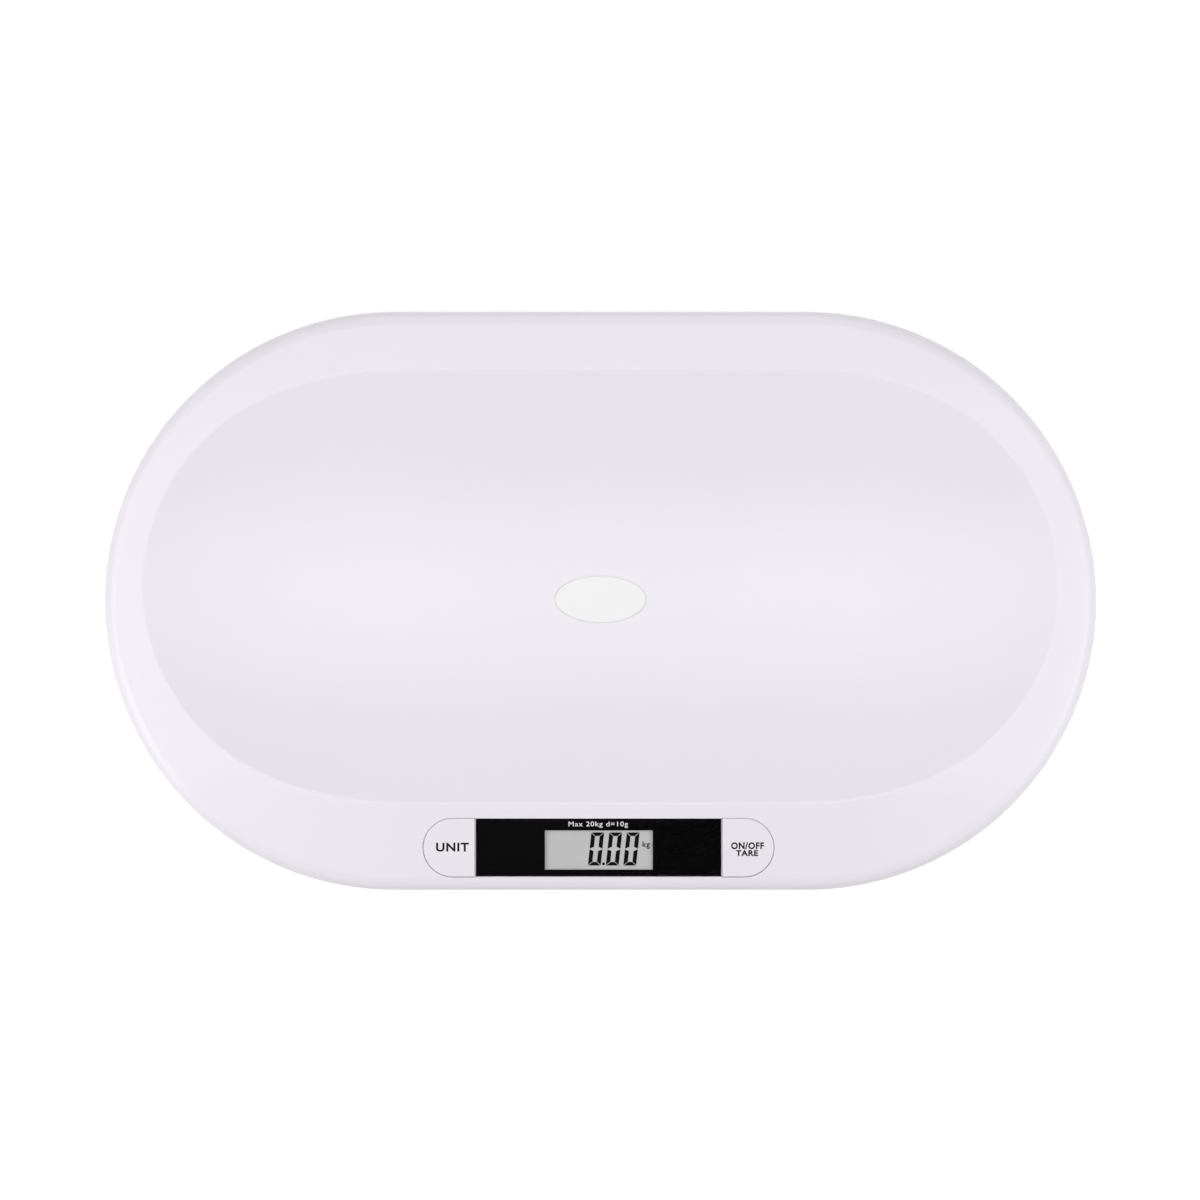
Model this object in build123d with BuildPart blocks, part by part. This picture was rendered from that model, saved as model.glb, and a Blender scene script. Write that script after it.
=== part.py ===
from build123d import *
import os
from math import asin, atan, ceil, cos, degrees, hypot, pi, radians, sin, tan

# Digital baby weighing scale: a one-piece trough tray over a nested bottom cover, which stands on four
# feet, each pressing on its own steel load cell. A sloped display panel with two keys is set in the
# front rim. X runs along the tray, -Y is the front edge with the display, Z is up from the floor.

cut_over = 1.0                 # how far a cut runs past the face that it opens
sweep_margin = 1.25            # how much further than the crest the bowl's hollow is drawn

# --- tray moulding ---
tray_length = 550.0
tray_width = 320.6
tray_wall = 2.6
skirt_bottom = 24.0
skirt_draft = 1.5
rim_height = 58.0              # bowl crest along the two long sides
rim_crown = 60.0               # where the two rim slopes would meet over the bowl
rim_tilt = 8.0                 # degrees that the rim falls outward from the crest
rim_blend = 200.0
end_dip = 14.0                 # how far the rim saddles down at both ends
rim_roll = 8.0                 # radius of the rolled outer edge
crest_radius = 3.0

# --- bowl ---
rim_end = 21.0                 # width of the rim at both ends
rim_back = 32.4
rim_front = 48.6               # wider, to carry the panel
bowl_floor = 26.0
straight_length = 220.0        # middle stretch where the trough keeps one section

# --- oval badge in the bowl floor ---
badge_length = 50.4
badge_width = 25.7
badge_offset = 0.9
badge_thickness = 0.8
badge_sunk = 0.6
badge_clearance = 0.2

# --- display panel, set out on the front slope of the rim ---
panel_inset = 23.8             # from the front edge to the panel's middle
panel_shift = -1.1             # to the left of the tray's middle
panel_length = 194.0
panel_width = 32.7
pad_margin = 6.0
pad_thickness = 4.2
lens_length = 135.6
lens_width = 32.4
lens_thickness = 1.5
lens_clearance = 0.15
mask_thickness = 0.2
window_length = 59.7
window_width = 22.0
window_centre = (0.15, -1.55)

# --- liquid crystal display ---
glass_length = 65.2
glass_width = 27.2
glass_thickness = 2.8
glass_depth = 2.6              # from the panel face down to the glass
glass_clearance = 0.4
holder_rim = 3.0
zebra_length = 60.0
zebra_width = 2.2
zebra_spacing = 23.0
zebra_clearance = 0.15
reflector_length = 54.0
reflector_width = 16.0
reflector_thickness = 0.5

# --- circuit board ---
board_length = 186.0
board_width = 28.0
board_thickness = 1.6
board_depth = 8.2              # from the panel face down to the board
board_corner = 2.0
board_screw_pitch = (104.0, 19.0)
board_screw_radius = 1.1
board_screw_length = 4.8
board_head_radius = 2.5
board_head_height = 1.6
board_boss_radius = 2.9
screw_clearance = 0.12
chip_size = 12.0
chip_height = 1.6
chip_place = (20.0, 0.0)
crystal_size = (10.0, 4.4, 3.2)
crystal_place = (4.0, 5.0)
capacitor_radius = 2.6
capacitor_height = 7.0
capacitor_places = ((-14.0, 6.0), (-14.0, -6.0))
socket_size = (10.0, 5.6, 6.0)
socket_places = ((-66.0, -8.0), (-38.0, -8.0), (38.0, -8.0), (66.0, -8.0), (0.0, -8.0))

# --- keys and their switches ---
key_gap = 0.6                  # between a key and the lens
key_clearance = 0.3
key_top = 2.0
key_wall = 1.2
key_edge = 0.4
key_flange = 1.0
flange_thickness = 1.1
flange_gap = 0.3
key_travel = 0.6
stem_radius = 2.6
switch_place = 81.0
switch_size = 6.2
switch_height = 3.5
plunger_radius = 1.7
plunger_rise = 1.5
plunger_seat = 1.4
plunger_clearance = 0.2

# --- bottom cover ---
base_bottom = 6.0
lip_overlap = 7.0              # how far the cover reaches up inside the tray's skirt
base_wall = 2.5
base_clearance = 0.5
base_roll = 18.0
rib_thickness = 1.6
rib_height = 4.0
rib_pitch = 62.0
rib_count = 7
support_rib_length = 190.0
support_rib_spacing = 44.0
support_rib_gap = 0.6

# --- case screws ---
screw_inset = 32.3             # from the tray's edge
screw_recess = 6.0
screw_radius = 1.5
screw_length = 22.0
screw_head_radius = 2.9
screw_head_height = 2.2
screw_head_clearance = 0.5
tray_boss_radius = 3.8
base_boss_radius = 5.2
pilot_margin = 1.0

# --- feet and load cells ---
foot_end_inset = 110.0         # from the tray's end to the foot's middle
foot_side_inset = 75.3
well_radius = 25.0
well_wall = 1.8
well_depth = 8.0
well_roof_thickness = 2.2
cell_size = 34.0
cell_corner = 8.0
cell_thickness = 2.5
cell_slot = 2.0
tongue_width = 14.0
tongue_length = 21.0
cell_hole_radius = 3.2
foot_radius = 22.0
foot_edge = 1.5
foot_boss_radius = 5.0
foot_boss_height = 2.5
stud_clearance = 0.4
stud_head_radius = 4.0
stud_head_height = 1.2
stud_play = 0.3
stud_slit = 1.2
relief_clearance = 2.0
pad_radius = 20.0
pad_height = 2.6
pad_recess = 0.8
pad_clearance = 0.2
pad_edge = 0.5
retainer_inner = 19.5
retainer_thickness = 1.6
retainer_clearance = 0.1
sealant_length = 8.0
sealant_width = 5.0
sealant_height = 1.0
sealant_offset = 9.0

# --- battery compartment ---
battery_radius = 5.25
battery_length = 44.5
battery_pitch = 11.1
battery_count = 3
nub_radius = 1.9
nub_height = 1.0
battery_gap = 0.25
bay_inset = 53.3               # from the front edge to the bay's middle
bay_length = 53.0
bay_width = 34.4
bay_wall = 1.8
bay_height = 11.0
contact_thickness = 0.4
contact_size = 8.6
contact_gap = 0.2
spring_wire = 0.3              # radius
spring_radius = 3.6
spring_pitch = 2.1
spring_taper = 8.0             # degrees

# --- battery door ---
door_length = 57.0
door_width = 44.0
door_thickness = 2.0
door_clearance = 0.4
door_seat_gap = 0.2
door_frame_margin = 3.5
door_frame_height = 4.6
tab_width = 7.0
tab_length = 3.0
tab_thickness = 1.0
tab_spacing = 34.0
tab_clearance = 0.4
tab_gap = 0.15
latch_width = 14.0
latch_length = 9.0
latch_slit = 1.0
latch_lip = 0.25
grip_count = 4
grip_pitch = 2.4
grip_size = (10.0, 0.9, 0.5)
finger_recess = (16.0, 5.0, 1.4)

# --- leads ---
cell_lead_radius = 1.1
battery_lead_radius = 0.8
lead_clearance = 0.4
lead_channel = 3.6             # how far a lead's channel runs into the roof of the well
lead_gap = 0.3
lead_drop = 10.0
lead_pitch = 3.0
lead_bend = 0.45               # share of the shorter run that an arc takes up

# --- blank rating label on the underside ---
label_length = 70.0
label_width = 36.0
label_offset = 62.0
label_thickness = 0.2
label_recess = 0.3
label_clearance = 0.3
label_corner = 2.0

# --- derived places ---
half_spine = (tray_length - tray_width) / 2
half_straight = straight_length / 2
bowl_length = tray_length - 2 * rim_end
bowl_width = tray_width - rim_front - rim_back
bowl_offset = (rim_front - rim_back) / 2
front_crest = bowl_offset - bowl_width / 2
back_crest = bowl_offset + bowl_width / 2
panel_offset = panel_inset - tray_width / 2
bowl_depth = rim_height - bowl_floor
bowl_radius = ((bowl_width / 2) ** 2 + bowl_depth ** 2) / (2 * bowl_depth)
end_run = bowl_length / 2 - half_straight
end_rise = rim_crown - end_dip - bowl_floor
rise_radius = (end_run ** 2 + end_rise ** 2) / (2 * end_rise)
dip_radius = (end_run ** 2 + end_dip ** 2) / (2 * end_dip)
rim_fall = tan(radians(rim_tilt))
section_angle = ceil(sweep_margin * degrees(asin(bowl_width / 2 / bowl_radius)))
end_reach = tray_length / 2 - half_straight + cut_over
dip_sweep = ceil(degrees(asin(end_reach / (dip_radius - rim_crown))))
rise_sweep = ceil(sweep_margin * degrees(atan(end_reach / (bowl_floor + rise_radius - rim_crown))))
pocket_depth = lens_thickness + mask_thickness
glass_back = glass_depth + glass_thickness
board_back = board_depth + board_thickness
key_inner = lens_length / 2 + key_gap
flange_top = pad_thickness + flange_gap
key_depth = flange_top + flange_thickness
switch_top = board_depth - switch_height
plunger_top = switch_top - plunger_rise
boss_joint = skirt_bottom
base_lip = skirt_bottom + lip_overlap
base_floor = base_bottom + base_wall
screw_reach = tray_width / 2 - screw_inset
screw_seat = base_bottom + screw_recess
well_roof = base_bottom + well_depth
cell_bottom = well_roof - cell_thickness
foot_top = cell_bottom - foot_boss_height
foot_bottom = pad_height - pad_recess
lead_height = well_roof - cell_thickness / 2
foot_along = tray_length / 2 - foot_end_inset
foot_across = tray_width / 2 - foot_side_inset
bay_centre = bay_inset - tray_width / 2
door_top = base_bottom + door_thickness
bay_bottom = door_top + door_seat_gap
bay_top = bay_bottom + bay_height
bay_end = bay_length / 2
battery_height = door_top + battery_gap + battery_radius
nub_tip = bay_end - contact_thickness - contact_gap
door_back = bay_centre + door_width / 2
door_front = bay_centre - door_width / 2
tab_bottom = door_top - tab_thickness
centred_up = (Align.CENTER, Align.CENTER, Align.MIN)

panel = Plane(
    origin=(panel_shift, panel_offset, rim_height - (front_crest - panel_offset) * rim_fall),
    x_dir=(1, 0, 0),
    z_dir=(0, -sin(radians(rim_tilt)), cos(radians(rim_tilt))),
)
foot_places = {
    "front_left": (-foot_along, -foot_across),
    "front_right": (foot_along, -foot_across),
    "back_left": (-foot_along, foot_across),
    "back_right": (foot_along, foot_across),
}
screw_along = max(half_spine, abs(panel_shift) + panel_length / 2 + pad_margin + base_boss_radius)
diagonal = screw_reach * cos(radians(45))
screw_places = [
    (along * reach, across * side)
    for along in (-1, 1)
    for across in (-1, 1)
    for reach, side in ((screw_along, screw_reach), (half_spine + diagonal, diagonal))
]
battery_rows = [
    (bay_centre + (row - (battery_count - 1) / 2) * battery_pitch, 1 if row % 2 == 0 else -1)
    for row in range(battery_count)
]

os.makedirs("parts", exist_ok=True)


def finish(builder, label):
    """Label one finished piece and write it."""
    builder.part.label = label
    export_step(builder.part, f"parts/{label}.step")


def under_panel(depth):
    """The plane that lies this deep under the panel's face."""
    return panel.offset(-depth)


def spine_distance(edge):
    """How far an edge's middle lies from the tray's centre spine, in plan."""
    middle = edge.center()
    return hypot(max(0, abs(middle.X) - half_spine), middle.Y)


# --- tray: an outer form less the same form inset by the wall ---


def rim_block(inset):
    """Everything under the saddle of the rim, or under its offset surface."""
    edge = rim_height - inset / cos(radians(rim_tilt))
    crown = rim_crown - inset
    reach = tray_width
    kink = (crown - edge) / rim_fall
    low_front = edge - (front_crest + reach) * rim_fall
    low_back = edge - (reach - back_crest) * rim_fall
    with BuildPart() as block:
        for side in (-1, 0, 1):
            with BuildSketch(Plane.YZ.offset(side * half_straight)):
                with BuildLine():
                    FilletPolyline(
                        (-reach, low_front),
                        (front_crest + kink, crown),
                        (back_crest - kink, crown),
                        (reach, low_back),
                        radius=rim_blend - inset,
                    )
                    Polyline((reach, low_back), (reach, 0), (-reach, 0), (-reach, low_front))
                make_face()
            if side == 0:
                extrude(amount=half_straight, both=True)
            else:
                dip = Axis((side * half_straight, 0, rim_crown - dip_radius), (0, side, 0))
                revolve(axis=dip, revolution_arc=dip_sweep)
    return block.part


def trough(inset):
    """The bowl's hollow: an arc section, straight in the middle and turned upward at both ends."""
    radius = bowl_radius + inset
    centre = bowl_floor + bowl_radius
    across = radius * sin(radians(section_angle))
    edge = centre - radius * cos(radians(section_angle))
    cover = edge + bowl_depth
    with BuildPart() as hollow:
        for side in (-1, 0, 1):
            with BuildSketch(Plane.YZ.offset(side * half_straight)):
                with BuildLine():
                    ThreePointArc(
                        (bowl_offset - across, edge),
                        (bowl_offset, centre - radius),
                        (bowl_offset + across, edge),
                    )
                    Polyline(
                        (bowl_offset + across, edge),
                        (bowl_offset + across, cover),
                        (bowl_offset - across, cover),
                        (bowl_offset - across, edge),
                    )
                make_face()
            if side == 0:
                extrude(amount=half_straight, both=True)
            else:
                rise = Axis((side * half_straight, 0, bowl_floor + rise_radius), (0, -side, 0))
                revolve(axis=rise, revolution_arc=rise_sweep)
    return hollow.part


def tray_form(inset):
    """The tray as a full solid, with every face moved inward by the inset."""
    block = rim_block(inset)
    hollow = trough(inset)
    with BuildPart() as form:
        with BuildSketch(Plane.XY.offset(skirt_bottom)):
            SlotOverall(tray_length - 2 * inset, tray_width - 2 * inset)
        extrude(amount=rim_crown, taper=skirt_draft)
        add(block, mode=Mode.INTERSECT)
        border = tray_width / 2 - inset - rim_roll / 2
        upper = form.edges().filter_by(lambda edge: edge.center().Z > skirt_bottom + rim_roll)
        fillet(upper.filter_by(lambda edge: spine_distance(edge) > border), radius=rim_roll - inset)
        add(hollow, mode=Mode.SUBTRACT)
    return form.part


def is_crest(edge):
    """Edges where the bowl meets the rim, without the seams across the faces."""
    if spine_distance(edge) > tray_width / 2 - rim_roll:
        return False
    if edge.geom_type == GeomType.LINE:
        return edge.length > half_straight
    return edge.geom_type == GeomType.BSPLINE


def key_outline(depth, side, grow):
    """One D-shaped end of the panel's slot, its straight side towards the lens."""
    with BuildSketch(under_panel(depth), mode=Mode.PRIVATE) as outline:
        SlotOverall(panel_length + 2 * grow, panel_width + 2 * grow)
        with Locations((side * (key_inner - grow + panel_length / 2), 0)):
            Rectangle(panel_length, 2 * panel_width, mode=Mode.INTERSECT)
    return outline.sketch


outer_form = tray_form(0)
inner_form = tray_form(tray_wall)
badge_bed = trough(badge_sunk)
badge_face = trough(badge_sunk - badge_thickness)

with BuildPart() as tray_fittings:
    with BuildSketch(panel):
        SlotOverall(panel_length + 2 * pad_margin, panel_width + 2 * pad_margin)
    extrude(amount=-pad_thickness)
    with Locations(*[(along, across, boss_joint) for along, across in screw_places]):
        Cylinder(tray_boss_radius, rim_crown, align=centred_up)
    add(outer_form, mode=Mode.INTERSECT)
    with BuildSketch(under_panel(pocket_depth)):
        with GridLocations(*board_screw_pitch, 2, 2):
            Circle(board_boss_radius)
    extrude(amount=pocket_depth - board_depth)

with BuildPart() as tray_cuts:
    with BuildSketch(Plane.XY.offset(bowl_floor - tray_wall)):
        with Locations((0, badge_offset)):
            Ellipse(badge_length / 2 + badge_clearance, badge_width / 2 + badge_clearance)
    extrude(amount=bowl_depth)
    add(badge_bed, mode=Mode.INTERSECT)
    with BuildSketch(under_panel(-cut_over)):
        Rectangle(lens_length + 2 * lens_clearance, lens_width + 2 * lens_clearance)
    extrude(amount=-cut_over - pocket_depth)
    with BuildSketch(under_panel(0)):
        Rectangle(glass_length + 2 * glass_clearance, glass_width + 2 * glass_clearance)
    extrude(amount=-pad_thickness - cut_over)
    for side in (-1, 1):
        extrude(key_outline(-cut_over, side, key_clearance), amount=-pad_thickness - 2 * cut_over)
    with BuildSketch(under_panel(board_depth)):
        with GridLocations(*board_screw_pitch, 2, 2):
            Circle(board_screw_radius + screw_clearance)
    extrude(amount=board_screw_length - board_thickness + screw_clearance)
    with Locations(*[(along, across, boss_joint) for along, across in screw_places]):
        Cylinder(
            screw_radius + screw_clearance,
            screw_seat + screw_length + pilot_margin - boss_joint,
            align=centred_up,
        )

with BuildPart() as tray:
    add(outer_form)
    fillet(tray.edges().filter_by(is_crest), radius=crest_radius)
    add(inner_form, mode=Mode.SUBTRACT)
    add(tray_fittings.part)
    add(tray_cuts.part, mode=Mode.SUBTRACT)
finish(tray, "tray")

with BuildPart() as name_badge:
    with BuildSketch(Plane.XY.offset(bowl_floor - tray_wall)):
        with Locations((0, badge_offset)):
            Ellipse(badge_length / 2, badge_width / 2)
    extrude(amount=bowl_depth)
    add(badge_bed, mode=Mode.INTERSECT)
    add(badge_face, mode=Mode.SUBTRACT)
finish(name_badge, "name_badge")

# --- display ---

with BuildPart() as display_lens:
    with BuildSketch(panel):
        Rectangle(lens_length, lens_width)
    extrude(amount=-lens_thickness)
finish(display_lens, "display_lens")

with BuildPart() as display_mask:
    with BuildSketch(under_panel(lens_thickness)):
        Rectangle(lens_length, lens_width)
        with Locations(window_centre):
            Rectangle(window_length, window_width, mode=Mode.SUBTRACT)
    extrude(amount=-mask_thickness)
finish(display_mask, "display_mask")

with BuildPart() as lcd_glass:
    with BuildSketch(under_panel(glass_depth)):
        Rectangle(glass_length, glass_width)
    extrude(amount=-glass_thickness)
finish(lcd_glass, "lcd_glass")

with BuildPart() as lcd_holder:
    with BuildSketch(under_panel(pad_thickness)):
        Rectangle(
            glass_length + 2 * (glass_clearance + holder_rim),
            glass_width + 2 * (glass_clearance + holder_rim),
        )
    extrude(amount=pad_thickness - board_depth)
    with BuildSketch(under_panel(pad_thickness)):
        Rectangle(glass_length + 2 * glass_clearance, glass_width + 2 * glass_clearance)
    extrude(amount=pad_thickness - glass_back, mode=Mode.SUBTRACT)
    with BuildSketch(under_panel(pad_thickness)):
        Rectangle(reflector_length + 2 * zebra_clearance, reflector_width + 2 * zebra_clearance)
        with GridLocations(0, zebra_spacing, 1, 2):
            Rectangle(zebra_length + 2 * zebra_clearance, zebra_width + 2 * zebra_clearance)
    extrude(amount=pad_thickness - board_depth, mode=Mode.SUBTRACT)
finish(lcd_holder, "lcd_holder")

with BuildPart() as zebra_strips:
    with BuildSketch(under_panel(glass_back)):
        with GridLocations(0, zebra_spacing, 1, 2):
            Rectangle(zebra_length, zebra_width)
    extrude(amount=glass_back - board_depth)
finish(zebra_strips, "zebra_strips")

with BuildPart() as lcd_reflector:
    with BuildSketch(under_panel(glass_back)):
        Rectangle(reflector_length, reflector_width)
    extrude(amount=-reflector_thickness)
finish(lcd_reflector, "lcd_reflector")

# --- circuit board and what it carries ---

with BuildPart() as main_board:
    with BuildSketch(under_panel(board_depth)):
        RectangleRounded(board_length, board_width, board_corner)
        with GridLocations(*board_screw_pitch, 2, 2):
            Circle(board_screw_radius + screw_clearance, mode=Mode.SUBTRACT)
    extrude(amount=-board_thickness)
finish(main_board, "main_board")

with BuildPart() as board_screws:
    with BuildSketch(under_panel(board_back)):
        with GridLocations(*board_screw_pitch, 2, 2):
            Circle(board_screw_radius)
    extrude(amount=board_screw_length)
    with BuildSketch(under_panel(board_back)):
        with GridLocations(*board_screw_pitch, 2, 2):
            Circle(board_head_radius)
    extrude(amount=-board_head_height)
finish(board_screws, "board_screws")

with BuildPart() as controller_chip:
    with BuildSketch(under_panel(board_back)):
        with Locations(chip_place):
            Rectangle(chip_size, chip_size)
    extrude(amount=-chip_height)
finish(controller_chip, "controller_chip")

with BuildPart() as quartz_crystal:
    with BuildSketch(under_panel(board_back)):
        with Locations(crystal_place):
            SlotOverall(crystal_size[0], crystal_size[1])
    extrude(amount=-crystal_size[2])
finish(quartz_crystal, "quartz_crystal")

with BuildPart() as capacitors:
    with BuildSketch(under_panel(board_back)):
        with Locations(*capacitor_places):
            Circle(capacitor_radius)
    extrude(amount=-capacitor_height)
finish(capacitors, "capacitors")

with BuildPart() as lead_sockets:
    with BuildSketch(under_panel(board_back)):
        with Locations(*socket_places):
            Rectangle(socket_size[0], socket_size[1])
    extrude(amount=-socket_size[2])
finish(lead_sockets, "lead_sockets")

# --- the two keys, each over a push switch ---

for side, key_name in ((-1, "unit"), (1, "tare")):
    with BuildPart() as switch_body:
        with BuildSketch(under_panel(board_depth)):
            with Locations((side * switch_place, 0)):
                Rectangle(switch_size, switch_size)
        extrude(amount=switch_height)
        with BuildSketch(under_panel(switch_top)):
            with Locations((side * switch_place, 0)):
                Circle(plunger_radius + plunger_clearance)
        extrude(amount=-plunger_seat - key_travel - plunger_clearance, mode=Mode.SUBTRACT)
    finish(switch_body, f"{key_name}_switch_body")

    with BuildPart() as switch_plunger:
        with BuildSketch(under_panel(plunger_top)):
            with Locations((side * switch_place, 0)):
                Circle(plunger_radius)
        extrude(amount=-plunger_rise - plunger_seat)
    finish(switch_plunger, f"{key_name}_switch_plunger")

    with BuildPart() as key_cap:
        extrude(key_outline(0, side, 0), amount=-key_depth)
        extrude(key_outline(flange_top, side, key_flange), amount=-flange_thickness)
        extrude(key_outline(key_top, side, -key_wall), amount=-key_depth, mode=Mode.SUBTRACT)
        with BuildSketch(under_panel(key_top)):
            with Locations((side * switch_place, 0)):
                Circle(stem_radius)
        extrude(amount=key_top - plunger_top)
        top_face = key_cap.faces().sort_by(Axis(panel.origin, panel.z_dir))[-1]
        chamfer(top_face.edges(), length=key_edge)
    finish(key_cap, f"{key_name}_button")

# --- bottom cover ---


def base_form(inset):
    """The bottom cover as a full solid, with every face moved inward by the inset."""
    gap = tray_wall + base_clearance + inset
    with BuildPart() as form:
        with BuildSketch(Plane.XY.offset(base_bottom + inset)):
            SlotOverall(tray_length - 2 * gap, tray_width - 2 * gap)
        extrude(amount=base_lip - base_bottom)
        fillet(form.faces().sort_by(Axis.Z)[0].edges(), radius=base_roll - inset)
    return form.part


def upright_block(length, width, bottom, top, centre=(0, 0), mode=Mode.ADD):
    """A rectangular block between two heights, in the part being built."""
    with Locations((centre[0], centre[1], bottom)):
        Box(length, width, top - bottom, align=centred_up, mode=mode)


cover_form = base_form(0)
cover_hollow = base_form(base_wall)
support_top = bowl_floor - tray_wall - support_rib_gap

with BuildPart() as base_fittings:
    for column in range(rib_count):
        along = (column - (rib_count - 1) / 2) * rib_pitch
        upright_block(rib_thickness, tray_width, base_bottom, base_floor + rib_height, (along, 0))
    for side in (-1, 1):
        across = bowl_offset + side * support_rib_spacing / 2
        upright_block(support_rib_length, rib_thickness, base_bottom, support_top, (0, across))
    add(cover_form, mode=Mode.INTERSECT)
    with Locations(*[(along, across, base_bottom) for along, across in foot_places.values()]):
        Cylinder(well_radius + well_wall, well_depth + well_roof_thickness, align=centred_up)
    with Locations(*[(along, across, base_bottom) for along, across in screw_places]):
        Cylinder(base_boss_radius, boss_joint - base_bottom, align=centred_up)
    upright_block(
        bay_length + 2 * bay_wall,
        bay_width + 2 * bay_wall,
        base_bottom,
        bay_top + bay_wall,
        (0, bay_centre),
    )
    upright_block(
        door_length + 2 * door_frame_margin,
        door_width + 2 * door_frame_margin,
        base_bottom,
        base_bottom + door_frame_height,
        (0, bay_centre),
    )

with BuildPart() as base_cuts:
    for along, across in foot_places.values():
        with Locations((along, across, 0)):
            Cylinder(well_radius, well_roof, align=centred_up)
            Cylinder(stud_head_radius + relief_clearance, boss_joint, align=centred_up)
    for along, across in screw_places:
        with Locations((along, across, 0)):
            Cylinder(screw_radius + screw_clearance, boss_joint + cut_over, align=centred_up)
            Cylinder(screw_head_radius + screw_head_clearance, screw_seat, align=centred_up)
    for side in (-1, 1):
        with BuildSketch(Plane.YZ.offset(side * (foot_along - well_radius + lead_channel))):
            with Locations((-foot_across, lead_height), (foot_across, lead_height)):
                Circle(cell_lead_radius + lead_clearance)
        extrude(amount=-side * (lead_channel + well_wall + cut_over))
        with BuildSketch(Plane.YZ.offset(side * (bay_end - cut_over))):
            with Locations((bay_centre, battery_height)):
                Circle(battery_lead_radius + lead_clearance)
        extrude(amount=side * (bay_wall + 2 * cut_over))
        upright_block(
            tab_width + 2 * tab_clearance,
            2 * (tab_length + tab_clearance),
            tab_bottom - tab_gap,
            base_bottom + door_frame_height + tab_length,
            (side * tab_spacing / 2, door_back),
        )
    upright_block(bay_length, bay_width, base_bottom, bay_top, (0, bay_centre))
    upright_block(
        door_length + 2 * door_clearance,
        door_width + 2 * door_clearance,
        base_bottom - cut_over,
        bay_bottom,
        (0, bay_centre),
    )
    upright_block(
        finger_recess[0],
        finger_recess[1] + 2 * door_clearance,
        base_bottom - cut_over,
        base_bottom + finger_recess[2],
        (0, door_front - finger_recess[1] / 2),
    )
    with BuildSketch(Plane.XY.offset(base_bottom - cut_over)):
        with Locations((0, label_offset)):
            RectangleRounded(
                label_length + 2 * label_clearance, label_width + 2 * label_clearance, label_corner
            )
    extrude(amount=cut_over + label_recess)
    with BuildSketch(Plane.XY.offset(base_lip)):
        SlotOverall(tray_length, tray_width)
    extrude(amount=base_lip)

with BuildPart() as base_cover:
    add(cover_form)
    add(cover_hollow, mode=Mode.SUBTRACT)
    add(base_fittings.part)
    add(base_cuts.part, mode=Mode.SUBTRACT)
finish(base_cover, "base_cover")

with BuildPart() as rating_label:
    with BuildSketch(Plane.XY.offset(base_bottom + label_recess - label_thickness)):
        with Locations((0, label_offset)):
            RectangleRounded(label_length, label_width, label_corner)
    extrude(amount=label_thickness)
finish(rating_label, "rating_label")

with BuildPart() as case_screws:
    with Locations(*[(along, across, screw_seat) for along, across in screw_places]):
        Cylinder(screw_radius, screw_length, align=centred_up)
    with Locations(*[(along, across, screw_seat - screw_head_height) for along, across in screw_places]):
        Cylinder(screw_head_radius, screw_head_height, align=centred_up)
finish(case_screws, "case_screws")

# --- feet: rubber pad, cap and stud, hung on a load cell under the roof of a well ---

for foot_name, (along, across) in foot_places.items():
    with BuildPart() as load_cell:
        with BuildSketch(Plane.XY.offset(cell_bottom)):
            with Locations((along, across)):
                RectangleRounded(cell_size, cell_size, cell_corner)
                Circle(cell_hole_radius, mode=Mode.SUBTRACT)
            with Locations((along, across - (tongue_length + cell_slot) / 2)):
                Rectangle(tongue_width + 2 * cell_slot, cell_slot, mode=Mode.SUBTRACT)
            with Locations((along, across)):
                with GridLocations(tongue_width + cell_slot, 0, 2, 1):
                    Rectangle(cell_slot, tongue_length, mode=Mode.SUBTRACT)
        extrude(amount=cell_thickness)
    finish(load_cell, f"load_cell_{foot_name}")

    with BuildPart() as foot_cap:
        with Locations((along, across, foot_bottom)):
            Cylinder(foot_radius, foot_top - foot_bottom, align=centred_up)
        fillet(foot_cap.faces().sort_by(Axis.Z)[-1].edges(), radius=foot_edge)
        with Locations((along, across, foot_top - foot_edge)):
            Cylinder(foot_boss_radius, cell_bottom - foot_top + foot_edge, align=centred_up)
            Cylinder(
                cell_hole_radius - stud_clearance,
                well_roof + stud_play - foot_top + foot_edge,
                align=centred_up,
            )
        with Locations((along, across, well_roof + stud_play)):
            Cylinder(stud_head_radius, stud_head_height, align=centred_up)
        upright_block(
            stud_slit,
            3 * stud_head_radius,
            cell_bottom,
            well_roof + stud_play + 2 * stud_head_height,
            (along, across),
            Mode.SUBTRACT,
        )
        with Locations((along, across, 0)):
            Cylinder(pad_radius + pad_clearance, pad_height, align=centred_up, mode=Mode.SUBTRACT)
    finish(foot_cap, f"foot_cap_{foot_name}")

    with BuildPart() as foot_pad:
        with Locations((along, across, 0)):
            Cylinder(pad_radius, pad_height, align=centred_up)
        chamfer(foot_pad.faces().sort_by(Axis.Z)[0].edges(), length=pad_edge)
    finish(foot_pad, f"foot_pad_{foot_name}")

with BuildPart() as cell_retainers:
    with BuildSketch(Plane.XY.offset(cell_bottom - retainer_thickness)):
        with Locations(*foot_places.values()):
            Circle(well_radius - retainer_clearance)
            Circle(retainer_inner, mode=Mode.SUBTRACT)
    extrude(amount=retainer_thickness)
finish(cell_retainers, "cell_retainers")

with BuildPart() as gauge_sealant:
    with BuildSketch(Plane.XY.offset(cell_bottom - sealant_height)):
        with Locations(*[(along, across + sealant_offset) for along, across in foot_places.values()]):
            Rectangle(sealant_length, sealant_width)
    extrude(amount=sealant_height)
finish(gauge_sealant, "gauge_sealant")

# --- batteries, contacts and door ---

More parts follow.
